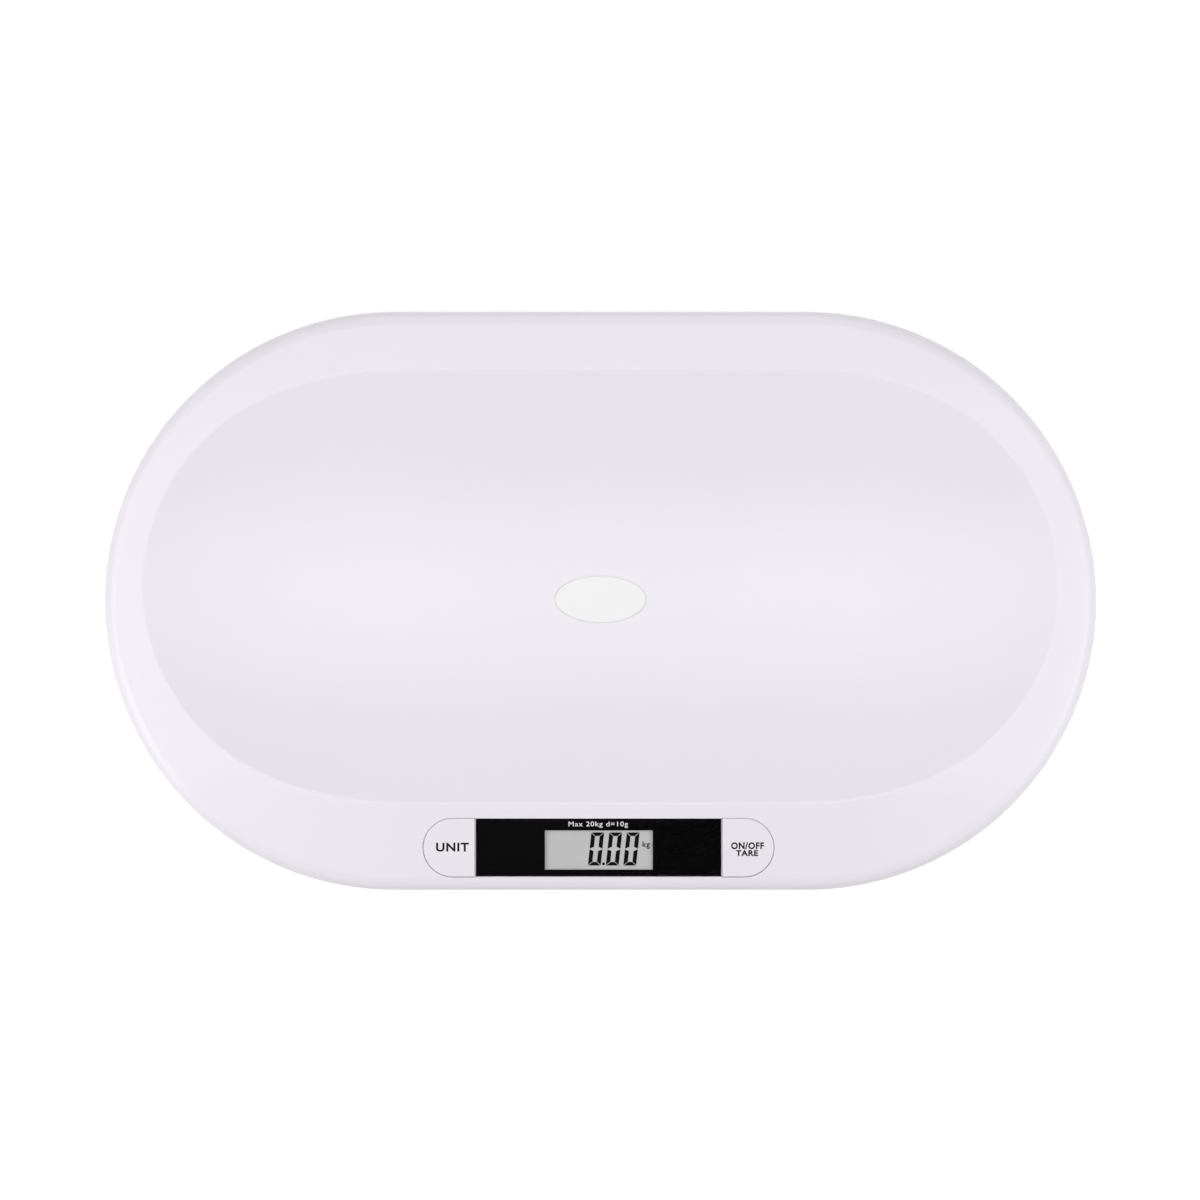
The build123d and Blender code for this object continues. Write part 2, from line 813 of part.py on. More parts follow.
with BuildPart() as batteries:
    for across, way in battery_rows:
        shoulder = way * (nub_tip - nub_height)
        with BuildSketch(Plane.YZ.offset(shoulder)):
            with Locations((across, battery_height)):
                Circle(battery_radius)
        extrude(amount=-way * (battery_length - nub_height))
        with BuildSketch(Plane.YZ.offset(shoulder)):
            with Locations((across, battery_height)):
                Circle(nub_radius)
        extrude(amount=way * nub_height)
finish(batteries, "batteries")

with BuildPart() as contact_plates:
    for side in (-1, 1):
        with BuildSketch(Plane.YZ.offset(side * bay_end)):
            with Locations(*[(across, battery_height) for across, way in battery_rows]):
                Rectangle(contact_size, contact_size)
        extrude(amount=-side * contact_thickness)
finish(contact_plates, "contact_plates")

with BuildPart() as contact_springs:
    for across, way in battery_rows:
        foot = -way * (bay_end - contact_thickness - contact_gap - spring_wire)
        tip = way * (nub_tip - battery_length - contact_gap - spring_wire)
        with BuildLine() as coil:
            Helix(
                pitch=spring_pitch,
                height=abs(tip - foot),
                radius=spring_radius,
                center=(foot, across, battery_height),
                direction=(way, 0, 0),
                cone_angle=-spring_taper,
            )
        with BuildSketch(Plane(origin=coil.line @ 0, z_dir=coil.line % 0)):
            Circle(spring_wire)
        sweep(path=coil.line, is_frenet=True)
finish(contact_springs, "contact_springs")

with BuildPart() as battery_door:
    upright_block(door_length, door_width, base_bottom, door_top, (0, bay_centre))
    for side in (-1, 1):
        upright_block(
            tab_width, 2 * tab_length, tab_bottom, door_top, (side * tab_spacing / 2, door_back)
        )
    upright_block(
        latch_width, 2 * latch_lip, tab_bottom, door_top, (0, door_front)
    )
    for side in (-1, 1):
        upright_block(
            latch_slit,
            2 * latch_length,
            base_bottom - cut_over,
            door_top + cut_over,
            (side * (latch_width + latch_slit) / 2, door_front),
            Mode.SUBTRACT,
        )
    for row in range(grip_count):
        upright_block(
            grip_size[0],
            grip_size[1],
            base_bottom - cut_over,
            base_bottom + grip_size[2],
            (0, door_front + latch_length + (row + 1) * grip_pitch),
            Mode.SUBTRACT,
        )
finish(battery_door, "battery_door")

# --- leads from the board's sockets to the load cells and to the battery bay ---


def lead_exit(place, along, drop):
    """A point straight below a socket's open face, or on it where the drop is 0."""
    slope = radians(rim_tilt)
    depth = board_back + socket_size[2] + drop
    return (
        panel.origin.X + place[0] + along,
        panel_offset + place[1] * cos(slope) + depth * sin(slope),
        panel.origin.Z + place[1] * sin(slope) - depth * cos(slope),
    )


def lay_lead(points, radius, label):
    """A round lead through the points, with the widest arc that each pair of runs has room for."""
    route = [Vector(*point) for point in points]
    bends = []
    for before, here, after in zip(route, route[1:], route[2:]):
        turn = radians((here - before).get_angle(after - here))
        shorter = min((here - before).length, (after - here).length)
        bends.append(lead_bend * shorter / tan(turn / 2))
    with BuildPart() as lead:
        with BuildLine() as path:
            FilletPolyline(*route, radius=bends)
        with BuildSketch(Plane(origin=path.line @ 0, z_dir=path.line % 0)):
            Circle(radius)
        sweep()
    full = pi * radius ** 2 * sum(edge.length for edge in path.edges())
    print(label, "radii", [round(bend, 1) for bend in bends], "volume share", round(lead.part.volume / full, 4))
    finish(lead, label)


for side, side_name, front_socket, back_socket in ((-1, "left", 0, 1), (1, "right", 3, 2)):
    cell_edge = side * (foot_along - cell_size / 2 - lead_gap)
    front_route = [
        lead_exit(socket_places[front_socket], 0, 0),
        lead_exit(socket_places[front_socket], 0, lead_drop),
        (side * 80, -131, 19),
        (side * 99, -115, 14.6),
        (side * 116, -95, 14.2),
        (side * 132, -85.6, 13.1),
        (cell_edge, -foot_across, lead_height),
    ]
    lay_lead(front_route, cell_lead_radius, f"cell_lead_front_{side_name}")
    back_route = [
        lead_exit(socket_places[back_socket], 0, 0),
        lead_exit(socket_places[back_socket], 0, lead_drop),
        (side * 50, -131, 18.5),
        (side * 72, -112, 14.4),
        (side * 93, -76, 13.8),
        (side * 101, -33, 13.9),
        (side * 103, 12, 13.8),
        (side * 108, 48, 14),
        (side * 119, 74, 14.2),
        (side * 133, 84.7, 13.2),
        (cell_edge, foot_across, lead_height),
    ]
    lay_lead(back_route, cell_lead_radius, f"cell_lead_back_{side_name}")
    bay_route = [
        lead_exit(socket_places[4], side * lead_pitch, 0),
        lead_exit(socket_places[4], side * lead_pitch, lead_drop),
        (side * 14, -138, 22.5),
        (side * 30, -132, 18.5),
        (side * 41, -121, 14.6),
        (side * 40, -110, 13.6),
        (side * (bay_end + lead_gap), bay_centre, battery_height),
    ]
    lay_lead(bay_route, battery_lead_radius, f"battery_lead_{side_name}")
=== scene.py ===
import math

import bpy
from mathutils import Matrix, Vector


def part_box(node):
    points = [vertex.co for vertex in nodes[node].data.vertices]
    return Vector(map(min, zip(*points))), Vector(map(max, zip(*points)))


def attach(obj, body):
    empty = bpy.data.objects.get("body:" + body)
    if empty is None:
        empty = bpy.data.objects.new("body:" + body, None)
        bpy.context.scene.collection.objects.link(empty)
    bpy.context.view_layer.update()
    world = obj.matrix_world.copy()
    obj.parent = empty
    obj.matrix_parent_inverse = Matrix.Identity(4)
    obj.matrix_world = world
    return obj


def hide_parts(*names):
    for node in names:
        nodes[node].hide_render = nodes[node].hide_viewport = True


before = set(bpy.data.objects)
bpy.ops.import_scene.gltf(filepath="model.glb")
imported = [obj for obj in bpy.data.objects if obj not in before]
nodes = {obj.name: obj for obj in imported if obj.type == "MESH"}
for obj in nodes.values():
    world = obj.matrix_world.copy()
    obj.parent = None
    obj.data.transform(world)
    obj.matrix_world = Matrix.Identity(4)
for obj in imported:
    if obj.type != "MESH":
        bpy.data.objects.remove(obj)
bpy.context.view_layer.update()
mm = 0.001  # sizes are given in mm, and only those of the stage, lamps and camera in metres

# the sloped panel in the front rim: local x runs along it, y up the slope, z out of its face
panel = {"tilt": 8.0, "lensThickness": 1.5}
lensMiddle = sum((Vector(corner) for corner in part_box("display_lens")), Vector()) / 2
lensTurn = Matrix.Rotation(math.radians(panel["tilt"]), 4, "X")
faceRise = Matrix.Translation((0, 0, panel["lensThickness"] / 2 * mm))
panelMatrix = Matrix.Translation(lensMiddle) @ lensTurn @ faceRise


# small helpers

def linear(hexColour):
    parts = [int(hexColour[i:i + 2], 16) / 255 for i in (1, 3, 5)]
    return tuple(v / 12.92 if v <= 0.04045 else ((v + 0.055) / 1.055) ** 2.4 for v in parts) + (1.0,)


def addNode(tree, kind, inputs=(), **settings):
    node = tree.nodes.new(kind)
    for name, value in settings.items():
        setattr(node, name, value)
    for name, value in dict(inputs).items():
        if isinstance(value, bpy.types.NodeSocket):
            tree.links.new(value, node.inputs[name])
        else:
            node.inputs[name].default_value = value
    return node


def startMaterial(name, values):
    material = bpy.data.materials.new(name)
    material.use_nodes = True
    tree = material.node_tree
    shader = tree.nodes["Principled BSDF"]
    for socket, value in values.items():
        shader.inputs[socket].default_value = value
    place = addNode(tree, "ShaderNodeTexCoord").outputs["Object"]
    return material, tree, shader, place


def startBareMaterial(name):
    material = bpy.data.materials.new(name)
    material.use_nodes = True
    tree = material.node_tree
    tree.nodes.remove(tree.nodes["Principled BSDF"])
    return material, tree


# sockets of a Mix node that is set to colour: their names are shared by its other sockets
mixLow, mixHigh, mixResult = 6, 7, 2


def seenDirectly(tree):
    # 1 for what the camera, a gloss or a clear piece looks at, 0 for the light that a surface gives back
    path = addNode(tree, "ShaderNodeLightPath")
    seen = addNode(tree, "ShaderNodeMath", {
        0: path.outputs["Is Camera Ray"], 1: path.outputs["Is Glossy Ray"]}, operation="MAXIMUM")
    seen = addNode(tree, "ShaderNodeMath", {
        0: seen.outputs[0], 1: path.outputs["Is Transmission Ray"]}, operation="MAXIMUM")
    return seen.outputs[0]


def dress(material, *names):
    for name in names:
        target = nodes[name] if name in nodes else bpy.data.objects[name]
        if not target.material_slots:
            target.data.materials.append(material)
        for slot in target.material_slots:
            slot.material = material


def nodesNamed(start):
    return [name for name in nodes if name.startswith(start)]


def pickOnly(thing):
    if bpy.context.object and bpy.context.object.mode != "OBJECT":
        bpy.ops.object.mode_set(mode="OBJECT")
    bpy.ops.object.select_all(action="DESELECT")
    if thing:
        thing.select_set(True)
        bpy.context.view_layer.objects.active = thing


def settle(piece, name):
    # the place goes into the mesh, so the object itself stays at the origin
    pickOnly(piece)
    bpy.ops.object.transform_apply(location=True, rotation=True, scale=True)
    piece.name = name
    piece.data.name = name
    return piece


def editPiece(piece, action="DESELECT"):
    pickOnly(piece)
    bpy.ops.object.mode_set(mode="EDIT")
    bpy.ops.mesh.select_mode(type="FACE")
    bpy.ops.mesh.select_all(action=action)


def pickCap(piece, highest=False):
    # the flat cap that faces down, or up
    bpy.ops.object.mode_set(mode="OBJECT")
    faces = piece.data.polygons
    sign = 1 if highest else -1
    chosen = max(faces, key=lambda face: (round(face.center.z * sign, 7), face.area))
    for part in (piece.data.vertices, piece.data.edges, faces):
        part.foreach_set("select", [False] * len(part))
    chosen.select = True
    bpy.ops.object.mode_set(mode="EDIT")


def pushFace(rise):
    bpy.ops.mesh.extrude_region_move(TRANSFORM_OT_translate={"value": (0, 0, rise)})


def copyOf(piece, matrix):
    twin = piece.copy()
    twin.data = piece.data.copy()
    twin.data.transform(matrix)
    bpy.context.collection.objects.link(twin)
    return twin


def joinPieces(pieces, name):
    pickOnly(pieces[0])
    for piece in pieces:
        piece.select_set(True)
    bpy.ops.object.join()
    bpy.context.object.name = name
    return bpy.context.object


# plastics

# ABS, injection moulded against a finely etched steel: an even satin white with a breath of lilac.
# Its tone drifts over centimetres, and its face waves a little where the melt flowed
moulding = {"drift": 45, "flow": 30, "wave": 0.05, "roughSpread": 0.04}


def mouldedAbs(name, light, dark, grainSize, grainDepth, roughness):
    material, tree, shader, place = startMaterial(name, {"IOR": 1.54, "Roughness": roughness})
    tone = addNode(tree, "ShaderNodeTexNoise", {
        "Vector": place, "Scale": 1 / (moulding["drift"] * mm), "Detail": 2.0})
    colour = addNode(tree, "ShaderNodeMix", {
        "Factor": tone.outputs["Fac"], mixLow: linear(dark), mixHigh: linear(light)}, data_type="RGBA")
    tree.links.new(colour.outputs[mixResult], shader.inputs["Base Color"])
    flow = addNode(tree, "ShaderNodeTexNoise", {
        "Vector": place, "Scale": 1 / (moulding["flow"] * mm), "Detail": 1.0})
    wave = addNode(tree, "ShaderNodeBump", {
        "Height": flow.outputs["Fac"], "Strength": 0.25, "Distance": moulding["wave"] * mm})
    grain = addNode(tree, "ShaderNodeTexNoise", {
        "Vector": place, "Scale": 1 / (grainSize * mm), "Detail": 3.0})
    bump = addNode(tree, "ShaderNodeBump", {
        "Height": grain.outputs["Fac"], "Strength": 0.5, "Distance": grainDepth * mm,
        "Normal": wave.outputs["Normal"]})
    tree.links.new(bump.outputs["Normal"], shader.inputs["Normal"])
    rough = addNode(tree, "ShaderNodeMapRange", {
        "Value": grain.outputs["Fac"],
        "To Min": roughness - moulding["roughSpread"], "To Max": roughness + moulding["roughSpread"]})
    tree.links.new(rough.outputs["Result"], shader.inputs["Roughness"])
    return material


# etched grain is about 0.1 mm, drawn at 0.35 to 0.7 mm so that it shows
trayAbs = mouldedAbs("satin ABS tray", "#f0ebf3", "#eee9f1", 0.4, 0.012, 0.38)
keyAbs = mouldedAbs("satin ABS key", "#f0ebf3", "#eee9f1", 0.35, 0.008, 0.34)
coverAbs = mouldedAbs("spark-textured ABS cover", "#eeebf1", "#e8e5eb", 0.7, 0.06, 0.5)
dress(trayAbs, "tray")
dress(keyAbs, "unit_button", "tare_button")
dress(coverAbs, "base_cover", "battery_door", "cell_retainers", *nodesNamed("foot_cap"))


# any other plain moulding, print or rubber: a tone that drifts a little, with its own grain
def plainSurface(name, light, dark, grainSize, grainDepth, values):
    driftSize = 6
    material, tree, shader, place = startMaterial(name, values)
    tone = addNode(tree, "ShaderNodeTexNoise", {
        "Vector": place, "Scale": 1 / (driftSize * mm), "Detail": 3.0})
    colour = addNode(tree, "ShaderNodeMix", {
        "Factor": tone.outputs["Fac"], mixLow: linear(dark), mixHigh: linear(light)}, data_type="RGBA")
    tree.links.new(colour.outputs[mixResult], shader.inputs["Base Color"])
    grain = addNode(tree, "ShaderNodeTexNoise", {
        "Vector": place, "Scale": 1 / (grainSize * mm), "Detail": 2.0})
    bump = addNode(tree, "ShaderNodeBump", {
        "Height": grain.outputs["Fac"], "Strength": 0.6, "Distance": grainDepth * mm})
    tree.links.new(bump.outputs["Normal"], shader.inputs["Normal"])
    return material


# acrylic plate, cast and sprayed white on its back: brighter and glossier than the tray
badgeAcrylic = plainSurface(
    "gloss white acrylic badge", "#ebeceb", "#e8e9e8", 3, 0.004,
    {"IOR": 1.49, "Roughness": 0.16, "Coat Weight": 0.3, "Coat Roughness": 0.05})
# screen-printed on the back of the acrylic and bonded to it, so it has no gloss of its own
maskInk = plainSurface(
    "black screen-printed ink", "#0f0f10", "#0d0d0e", 0.3, 0.002,
    {"Specular IOR Level": 0.0, "Roughness": 0.5})
# nylon, injection moulded and unpainted: a warm, waxy off-white
holderNylon = plainSurface("white nylon holder", "#e3e1da", "#dcdad2", 0.3, 0.01, {"Roughness": 0.5})
# acetal, moulded: a dense black with a dull shine
blackAcetal = plainSurface("black acetal", "#141416", "#0e0e10", 0.2, 0.01, {"Roughness": 0.42})
# glass-filled epoxy, transfer moulded: a matt black with a slight sandiness
chipEpoxy = plainSurface("black moulded epoxy", "#1b1b1d", "#131315", 0.15, 0.02, {"Roughness": 0.6})
# silicone, laid as a bead: milky and a little see-through at its edges
siliconeWhite = plainSurface(
    "white silicone sealant", "#e6e6e2", "#dadad5", 0.8, 0.05,
    {"Roughness": 0.45, "Subsurface Weight": 0.1, "Subsurface Radius": (1 * mm, 1 * mm, 1 * mm)})
# thermoplastic rubber, moulded: a dry, dull grey
padRubber = plainSurface(
    "grey TPR rubber", "#8a8a8d", "#7c7c7f", 0.4, 0.05, {"IOR": 1.52, "Roughness": 0.75})
# PVC, extruded over the wire: smooth, with a soft shine
leadVinyl = plainSurface("grey PVC lead", "#8f8f92", "#828285", 0.5, 0.02, {"Roughness": 0.45})
redVinyl = plainSurface("red PVC lead", "#b3201c", "#a01a17", 0.5, 0.02, {"Roughness": 0.4})
blackVinyl = plainSurface("black PVC lead", "#18181a", "#111113", 0.5, 0.02, {"Roughness": 0.4})
# PET film, shrunk on: dark blue and glossy
sleevePet = plainSurface("dark PET capacitor sleeve", "#14182c", "#101322", 0.3, 0.006, {"Roughness": 0.28})
# polyester film with a vapour of metal under a matt varnish
labelFilm = plainSurface(
    "matt silver polyester film", "#cfd0d2", "#c9cacc", 0.12, 0.004, {"Metallic": 0.35, "Roughness": 0.42})

dress(badgeAcrylic, "name_badge")
dress(maskInk, "display_mask")
dress(holderNylon, "lcd_holder", "lead_sockets")
dress(blackAcetal, "unit_switch_plunger", "tare_switch_plunger", "unit_switch_body", "tare_switch_body")
dress(chipEpoxy, "controller_chip")
dress(siliconeWhite, "gauge_sealant")
dress(padRubber, *nodesNamed("foot_pad"))
dress(leadVinyl, *nodesNamed("cell_lead"))
dress(redVinyl, "battery_lead_right")
dress(blackVinyl, "battery_lead_left")
dress(sleevePet, "capacitors")
dress(labelFilm, "rating_label")
print("plastics dressed")


# metals

# sheet or wire with fine scratches, drawn out along one axis by a small scale there
scratches = {"width": 0.6, "depth": 0.01, "roughSpread": 0.08}


def drawnMetal(name, light, dark, stretch, roughness):
    material, tree, shader, place = startMaterial(name, {"Metallic": 1.0, "Roughness": roughness})
    turned = addNode(tree, "ShaderNodeMapping", {"Vector": place, "Scale": stretch})
    lines = addNode(tree, "ShaderNodeTexNoise", {
        "Vector": turned.outputs["Vector"], "Scale": 1 / (scratches["width"] * mm), "Detail": 3.0})
    colour = addNode(tree, "ShaderNodeMix", {
        "Factor": lines.outputs["Fac"], mixLow: linear(dark), mixHigh: linear(light)}, data_type="RGBA")
    tree.links.new(colour.outputs[mixResult], shader.inputs["Base Color"])
    rough = addNode(tree, "ShaderNodeMapRange", {
        "Value": lines.outputs["Fac"],
        "To Min": roughness - scratches["roughSpread"], "To Max": roughness + scratches["roughSpread"]})
    tree.links.new(rough.outputs["Result"], shader.inputs["Roughness"])
    bump = addNode(tree, "ShaderNodeBump", {
        "Height": lines.outputs["Fac"], "Strength": 0.4, "Distance": scratches["depth"] * mm})
    tree.links.new(bump.outputs["Normal"], shader.inputs["Normal"])
    return material


# blanked from strip and ground: grey, with long grinding lines
springSteel = drawnMetal("ground spring steel", "#b9b9ba", "#9a9b9c", (1, 0.04, 1), 0.34)
# rolled: pale, with a soft sheen along the rolls
foilAluminium = drawnMetal("satin aluminium foil", "#d6d7d8", "#c2c3c5", (0.05, 1, 1), 0.4)
# deep drawn and plated: a warm, fairly sharp shine
canSteel = drawnMetal("nickel-plated steel can", "#c3c1ba", "#aeaca5", (0.1, 1, 1), 0.25)
# cold headed and plated: a bluish, slightly cloudy shine
zincSteel = drawnMetal("zinc-plated steel", "#c7cacb", "#a9adb0", (1, 1, 0.3), 0.3)
# drawn through a die and plated: warm, with the sharpest shine of all
nickelWire = drawnMetal("nickel-plated spring wire", "#cfcabd", "#b4afa2", (0.2, 1, 1), 0.22)
dress(springSteel, *nodesNamed("load_cell"))
dress(foilAluminium, "lcd_reflector")
dress(canSteel, "quartz_crystal")
dress(zincSteel, "board_screws", "case_screws")
dress(nickelWire, "contact_springs", "contact_plates")
print("metals dressed")


# display

# clear acrylic, cast and polished, faintly wiped: the ink under it reads as a deep gloss black
acrylic = {"ior": 1.49, "tint": 0.99, "wipe": 20, "smooth": 0.02, "wiped": 0.04}


def clearAcrylic():
    material, tree = startBareMaterial("clear polished acrylic")
    tint = acrylic["tint"]
    clear = addNode(tree, "ShaderNodeBsdfTransparent", {"Color": (tint, tint, tint, 1)})
    place = addNode(tree, "ShaderNodeTexCoord").outputs["Object"]
    wipe = addNode(tree, "ShaderNodeTexNoise", {
        "Vector": place, "Scale": 1 / (acrylic["wipe"] * mm), "Detail": 6.0})
    rough = addNode(tree, "ShaderNodeMapRange", {
        "Value": wipe.outputs["Fac"], "To Min": acrylic["smooth"], "To Max": acrylic["wiped"]})
    gloss = addNode(tree, "ShaderNodeBsdfGlossy", {"Roughness": rough.outputs["Result"]})
    edge = addNode(tree, "ShaderNodeFresnel", {"IOR": acrylic["ior"]})
    # only the outer side of each face reflects, and a thin clear plate throws no shadow worth seeing
    inner = addNode(tree, "ShaderNodeNewGeometry").outputs["Backfacing"]
    shadow = addNode(tree, "ShaderNodeLightPath").outputs["Is Shadow Ray"]
    hidden = addNode(tree, "ShaderNodeMath", {0: inner, 1: shadow}, operation="MAXIMUM")
    shown = addNode(tree, "ShaderNodeMath", {0: 1.0, 1: hidden.outputs[0]}, operation="SUBTRACT")
    share = addNode(tree, "ShaderNodeMath", {0: edge.outputs[0], 1: shown.outputs[0]}, operation="MULTIPLY")
    both = addNode(tree, "ShaderNodeMixShader", {
        0: share.outputs[0], 1: clear.outputs[0], 2: gloss.outputs[0]})
    tree.links.new(both.outputs[0], tree.nodes["Material Output"].inputs["Surface"])
    return material


# reflective LCD: grey polariser film over glass, with a very fine grain
polariser = {"drift": 12, "grain": 0.15, "depth": 0.003}


def polariserGlass():
    material, tree, shader, place = startMaterial("grey LCD polariser", {"IOR": 1.52, "Roughness": 0.28})
    tone = addNode(tree, "ShaderNodeTexNoise", {
        "Vector": place, "Scale": 1 / (polariser["drift"] * mm), "Detail": 1.0})
    colour = addNode(tree, "ShaderNodeMix", {
        "Factor": tone.outputs["Fac"], mixLow: linear("#cacaca"), mixHigh: linear("#cdcdcd")},
        data_type="RGBA")
    tree.links.new(colour.outputs[mixResult], shader.inputs["Base Color"])
    film = addNode(tree, "ShaderNodeTexNoise", {
        "Vector": place, "Scale": 1 / (polariser["grain"] * mm), "Detail": 1.0})
    bump = addNode(tree, "ShaderNodeBump", {
        "Height": film.outputs["Fac"], "Strength": 0.2, "Distance": polariser["depth"] * mm})
    tree.links.new(bump.outputs["Normal"], shader.inputs["Normal"])
    return material


dress(clearAcrylic(), "display_lens")
dress(polariserGlass(), "lcd_glass")

# the inks are matt, so that the gloss over them comes from the acrylic and the key alone
segmentInk = plainSurface(
    "black LCD segment", "#0a0a0b", "#070708", 0.3, 0.002,
    {"Specular IOR Level": 0.05, "Roughness": 0.5})
keyInk = plainSurface(
    "black pad-printed ink", "#0e0e10", "#0a0a0c", 0.15, 0.004,
    {"Specular IOR Level": 0.15, "Roughness": 0.6})
whiteInk = plainSurface("white screen-printed ink", "#f2f2f2", "#ececec", 0.15, 0.004, {"Roughness": 0.5})

# one digit is six mitred bars, slanted a little; the middle bar is off. Places are on the panel
digits = {
    "height": 18.5, "width": 7.1, "tallStroke": 2.28, "flatStroke": 2.0, "gap": 0.2, "slant": 6.0,
    "places": (-1.4, 8.55, 18.2), "middle": -1.1, "depth": 2.58, "thickness": 0.02,
    "waistShare": 0.5, "pointPlace": (2.8, -9.4), "pointSize": (1.4, 1.5),
}


def segmentBar(name, length, width, farInset, nearInset):
    # a bar along x: its upper edge is the long one, and each end of its lower edge is drawn in
    bpy.ops.mesh.primitive_plane_add(size=1, location=(0, 0, 0))
    bar = bpy.context.object
    bar.scale = (length, width, 1)
    bpy.ops.object.transform_apply(scale=True)
    bpy.ops.object.mode_set(mode="EDIT")
    for sign, inset in ((-1, farInset), (1, nearInset)):
        bpy.ops.mesh.select_all(action="DESELECT")
        bpy.ops.object.mode_set(mode="OBJECT")
        for vertex in bar.data.vertices:
            vertex.select = vertex.co.y < 0 and vertex.co.x * sign > 0
        bpy.ops.object.mode_set(mode="EDIT")
        bpy.ops.mesh.select_mode(type="VERT")
        bpy.ops.transform.translate(value=(-sign * inset, 0, 0))
    bpy.ops.object.mode_set(mode="OBJECT")
    bar.name = name
    return bar


def lcdDigits():
    pickOnly(None)
    tallStroke, flatStroke, gap = digits["tallStroke"] * mm, digits["flatStroke"] * mm, digits["gap"] * mm
    width, half = digits["width"] * mm, digits["height"] / 2 * mm
    flat = segmentBar("flatBar", width - 2 * gap, flatStroke, tallStroke, tallStroke)
    tall = segmentBar("tallBar", half - 2 * gap, tallStroke, flatStroke, digits["waistShare"] * flatStroke)
    point = segmentBar("pointBar", digits["pointSize"][0] * mm, digits["pointSize"][1] * mm, 0, 0)
    slant = Matrix.Shear("XZ", 4, (math.tan(math.radians(digits["slant"])), 0))
    onTop = Matrix.Translation((0, half - flatStroke / 2, 0))
    upright = Matrix.Rotation(-math.pi / 2, 4, "Z")
    atSide = Matrix.Translation((width / 2 - tallStroke / 2, half / 2, 0)) @ upright
    bars = []
    for place in digits["places"]:
        centre = Matrix.Translation((place * mm, digits["middle"] * mm, 0)) @ slant
        for up in (1, -1):
            bars.append(copyOf(flat, centre @ Matrix.Diagonal((1, up, 1, 1)) @ onTop))
            for side in (1, -1):
                # long edge outwards, full mitre at the corner and a short one at the waist
                bars.append(copyOf(tall, centre @ Matrix.Diagonal((side, up, 1, 1)) @ atSide))
    pointAcross, pointAlong = digits["pointPlace"]
    bars.append(copyOf(point, Matrix.Translation((pointAcross * mm, pointAlong * mm, 0))))
    for spare in (flat, tall, point):
        bpy.data.objects.remove(spare)
    joined = joinPieces(bars, "lcd_digits")
    editPiece(joined, "SELECT")
    bpy.ops.mesh.normals_make_consistent(inside=False)
    bpy.ops.object.mode_set(mode="OBJECT")
    for face in joined.data.polygons:
        if face.normal.z < 0:
            face.flip()
    solid = joined.modifiers.new("thick", "SOLIDIFY")
    solid.thickness = digits["thickness"] * mm
    solid.offset = 1
    bpy.ops.object.modifier_apply(modifier="thick")
    joined.data.transform(panelMatrix @ Matrix.Translation((0, 0, -digits["depth"] * mm)))
    return joined


digitBars = lcdDigits()
dress(segmentInk, "lcd_digits")
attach(digitBars, "root")


# printed words: a text turned to a mesh, fitted to its width and height, then laid on its face.
# Size, centre and depth are on the panel; bold swells each stroke, in shares of the letter size
words = {
    "unit_letters": {
        "text": "UNIT", "size": (18.2, 5.0), "centre": (-80.8, 0.3), "bold": 0.032, "depth": 0.0,
        "body": "unit_key", "slot": "black_print"},
    "power_letters": {
        "text": "ON/OFF", "size": (18.2, 3.9), "centre": (82.4, 1.1), "bold": 0.04, "depth": 0.0,
        "body": "tare_key", "slot": "black_print"},
    "tare_letters": {
        "text": "TARE", "size": (12.3, 3.4), "centre": (82.1, -3.0), "bold": 0.04, "depth": 0.0,
        "body": "tare_key", "slot": "black_print"},
    "range_line": {
        "text": "Max 20kg d=10g", "size": (32.9, 3.6), "centre": (-0.15, 12.65), "bold": 0.006,
        "depth": 1.47, "body": "root", "slot": None},
    "weight_letters": {
        "text": "kg", "size": (4.1, 4.3), "centre": (26.4, 1.1), "bold": 0.016, "depth": 2.57,
        "body": "root", "slot": "black_print"},
}
# thickness is in mm, extrude and weld are in shares of the letter size
lettering = {"thickness": 0.03, "spacing": 1.12, "extrude": 0.01, "curveSteps": 5, "weld": 0.0001}


def printedWord(name, ink):
    word = words[name]
    pickOnly(None)
    bpy.ops.object.text_add(location=(0, 0, 0))
    text = bpy.context.object
    text.data.body = word["text"]
    text.data.bevel_depth = word["bold"]
    text.data.space_character = lettering["spacing"]
    text.data.resolution_u = lettering["curveSteps"]
    text.data.extrude = lettering["extrude"]
    bpy.ops.object.convert(target="MESH")
    flat = bpy.context.object
    editPiece(flat, "SELECT")
    bpy.ops.mesh.remove_doubles(threshold=lettering["weld"])
    bpy.ops.object.mode_set(mode="OBJECT")
    byAxis = list(zip(*[vertex.co for vertex in flat.data.vertices]))
    low = Vector([min(values) for values in byAxis])
    high = Vector([max(values) for values in byAxis])
    thickness = lettering["thickness"]
    wanted = Vector((*word["size"], thickness)) * mm
    fit = Matrix.Diagonal((*[want / have for want, have in zip(wanted, high - low)], 1))
    # the ink's back lies in its face, the rest of it stands proud
    onFace = Matrix.Translation(Vector((*word["centre"], thickness / 2 - word["depth"])) * mm)
    flat.data.transform(panelMatrix @ onFace @ fit @ Matrix.Translation(-(low + high) / 2))
    flat.name = name
    dress(ink, name)
    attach(flat, word["body"])


printedWord("unit_letters", keyInk)
printedWord("power_letters", keyInk)
printedWord("tare_letters", keyInk)
printedWord("range_line", whiteInk)
printedWord("weight_letters", segmentInk)
print("display and letters made")


# inner pieces

# AAA cell in a printed shrink sleeve: dark body with a copper band at both ends
sleeve = {"bandStart": 12, "mottle": 4}


